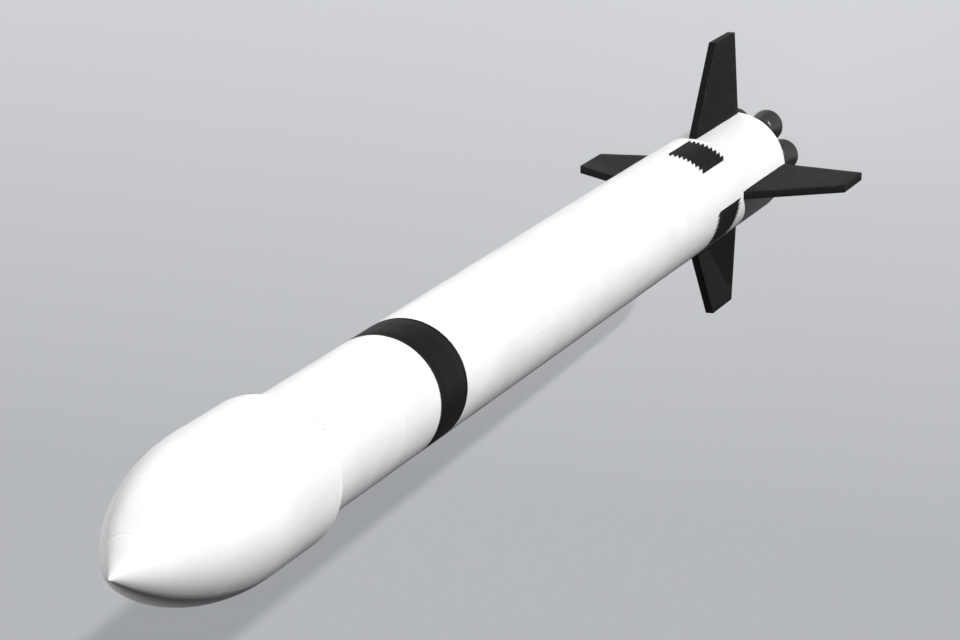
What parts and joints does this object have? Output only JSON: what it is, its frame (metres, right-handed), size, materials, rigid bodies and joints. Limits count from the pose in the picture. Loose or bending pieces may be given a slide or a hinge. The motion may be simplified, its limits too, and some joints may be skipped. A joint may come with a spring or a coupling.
{
  "type": "space rocket",
  "caption": "Slim white space rocket with a wide pointed fairing, a black interstage, square-cut tail fins and a cluster of gimballed engines.",
  "frame": {"origin": "centre of the tail rim, where the launch table holds it", "axes": "+Z along the rocket's axis, towards the nose; the fins lie along X and Y"},
  "size_m": [6.246, 6.246, 34.6446],
  "materials": {
    "white_paint": "satin white paint",
    "black_paint": "satin black paint",
    "nozzle_metal": "dark heat-tinted metal",
    "engine_steel": "machined steel",
    "heat_shield": "quilted heat blanket",
    "bare_alloy": "bare alloy"
  },
  "bodies": {
    "root": {"tail_skirt": "white_paint", "heat_shield": "heat_shield", "lower_tank": "white_paint", "intertank": "white_paint", "upper_tank": "white_paint", "forward_skirt": "white_paint", "interstage": "black_paint", "second_stage_engine": "engine_steel", "second_stage_skirt": "white_paint", "second_stage_tank": "white_paint", "equipment_bay": "white_paint", "boat_tail": "white_paint", "payload_adapter": "bare_alloy", "cable_duct_lower": "white_paint", "cable_duct_upper": "white_paint", "fin_1": "black_paint", "fin_2": "black_paint", "fin_3": "black_paint", "fin_4": "black_paint", "thrust_mount_0": "engine_steel", "thrust_mount_1": "engine_steel", "thrust_mount_2": "engine_steel", "thrust_mount_3": "engine_steel", "thrust_mount_4": "engine_steel", "thrust_mount_5": "engine_steel", "thrust_mount_6": "engine_steel"},
    "fairing_half_a": {"fairing_half_a": "white_paint"},
    "fairing_half_b": {"fairing_half_b": "white_paint"},
    "gimbal_0": {"gimbal_cross_0": "bare_alloy"},
    "engine_0": {"powerhead_0": "engine_steel", "bell_0": "nozzle_metal", "bell_extension_0": "nozzle_metal"},
    "gimbal_1": {"gimbal_cross_1": "bare_alloy"},
    "engine_1": {"powerhead_1": "engine_steel", "bell_1": "nozzle_metal", "bell_extension_1": "nozzle_metal"},
    "gimbal_2": {"gimbal_cross_2": "bare_alloy"},
    "engine_2": {"powerhead_2": "engine_steel", "bell_2": "nozzle_metal", "bell_extension_2": "nozzle_metal"},
    "gimbal_3": {"gimbal_cross_3": "bare_alloy"},
    "engine_3": {"powerhead_3": "engine_steel", "bell_3": "nozzle_metal", "bell_extension_3": "nozzle_metal"},
    "gimbal_4": {"gimbal_cross_4": "bare_alloy"},
    "engine_4": {"powerhead_4": "engine_steel", "bell_4": "nozzle_metal", "bell_extension_4": "nozzle_metal"},
    "gimbal_5": {"gimbal_cross_5": "bare_alloy"},
    "engine_5": {"powerhead_5": "engine_steel", "bell_5": "nozzle_metal", "bell_extension_5": "nozzle_metal"},
    "gimbal_6": {"gimbal_cross_6": "bare_alloy"},
    "engine_6": {"powerhead_6": "engine_steel", "bell_6": "nozzle_metal", "bell_extension_6": "nozzle_metal"}
  },
  "joints": [
    {"name": "fairing_open_a", "type": "hinge", "parent": "root", "child": "fairing_half_a", "pos_m": [-1.01611, 1.01611, 27.27], "axis": [-0.7071, -0.7071, 0], "range_deg": [0, 60]},
    {"name": "fairing_open_b", "type": "hinge", "parent": "root", "child": "fairing_half_b", "pos_m": [1.01611, -1.01611, 27.27], "axis": [0.7071, 0.7071, 0], "range_deg": [0, 60]},
    {"name": "engine_0_pitch", "type": "hinge", "parent": "root", "child": "gimbal_0", "pos_m": [0, 0, 0.3], "axis": [1, 0, 0], "range_deg": [-5, 5]},
    {"name": "engine_0_yaw", "type": "hinge", "parent": "gimbal_0", "child": "engine_0", "pos_m": [0, 0, 0.3], "axis": [0, 1, 0], "range_deg": [-5, 5]},
    {"name": "engine_1_pitch", "type": "hinge", "parent": "root", "child": "gimbal_1", "pos_m": [0.66511, 0.384, 0.3], "axis": [1, 0, 0], "range_deg": [-5, 5]},
    {"name": "engine_1_yaw", "type": "hinge", "parent": "gimbal_1", "child": "engine_1", "pos_m": [0.66511, 0.384, 0.3], "axis": [0, 1, 0], "range_deg": [-5, 5]},
    {"name": "engine_2_pitch", "type": "hinge", "parent": "root", "child": "gimbal_2", "pos_m": [0, 0.768, 0.3], "axis": [1, 0, 0], "range_deg": [-5, 5]},
    {"name": "engine_2_yaw", "type": "hinge", "parent": "gimbal_2", "child": "engine_2", "pos_m": [0, 0.768, 0.3], "axis": [0, 1, 0], "range_deg": [-5, 5]},
    {"name": "engine_3_pitch", "type": "hinge", "parent": "root", "child": "gimbal_3", "pos_m": [-0.66511, 0.384, 0.3], "axis": [1, 0, 0], "range_deg": [-5, 5]},
    {"name": "engine_3_yaw", "type": "hinge", "parent": "gimbal_3", "child": "engine_3", "pos_m": [-0.66511, 0.384, 0.3], "axis": [0, 1, 0], "range_deg": [-5, 5]},
    {"name": "engine_4_pitch", "type": "hinge", "parent": "root", "child": "gimbal_4", "pos_m": [-0.66511, -0.384, 0.3], "axis": [1, 0, 0], "range_deg": [-5, 5]},
    {"name": "engine_4_yaw", "type": "hinge", "parent": "gimbal_4", "child": "engine_4", "pos_m": [-0.66511, -0.384, 0.3], "axis": [0, 1, 0], "range_deg": [-5, 5]},
    {"name": "engine_5_pitch", "type": "hinge", "parent": "root", "child": "gimbal_5", "pos_m": [0, -0.768, 0.3], "axis": [1, 0, 0], "range_deg": [-5, 5]},
    {"name": "engine_5_yaw", "type": "hinge", "parent": "gimbal_5", "child": "engine_5", "pos_m": [0, -0.768, 0.3], "axis": [0, 1, 0], "range_deg": [-5, 5]},
    {"name": "engine_6_pitch", "type": "hinge", "parent": "root", "child": "gimbal_6", "pos_m": [0.66511, -0.384, 0.3], "axis": [1, 0, 0], "range_deg": [-5, 5]},
    {"name": "engine_6_yaw", "type": "hinge", "parent": "gimbal_6", "child": "engine_6", "pos_m": [0.66511, -0.384, 0.3], "axis": [0, 1, 0], "range_deg": [-5, 5]}
  ],
  "couplings": [
    {"joint": "engine_1_pitch", "follows": "engine_0_pitch", "ratio": 1},
    {"joint": "engine_1_yaw", "follows": "engine_0_yaw", "ratio": 1},
    {"joint": "engine_2_pitch", "follows": "engine_0_pitch", "ratio": 1},
    {"joint": "engine_2_yaw", "follows": "engine_0_yaw", "ratio": 1},
    {"joint": "engine_3_pitch", "follows": "engine_0_pitch", "ratio": 1},
    {"joint": "engine_3_yaw", "follows": "engine_0_yaw", "ratio": 1},
    {"joint": "engine_4_pitch", "follows": "engine_0_pitch", "ratio": 1},
    {"joint": "engine_4_yaw", "follows": "engine_0_yaw", "ratio": 1},
    {"joint": "engine_5_pitch", "follows": "engine_0_pitch", "ratio": 1},
    {"joint": "engine_5_yaw", "follows": "engine_0_yaw", "ratio": 1},
    {"joint": "engine_6_pitch", "follows": "engine_0_pitch", "ratio": 1},
    {"joint": "engine_6_yaw", "follows": "engine_0_yaw", "ratio": 1}
  ]
}
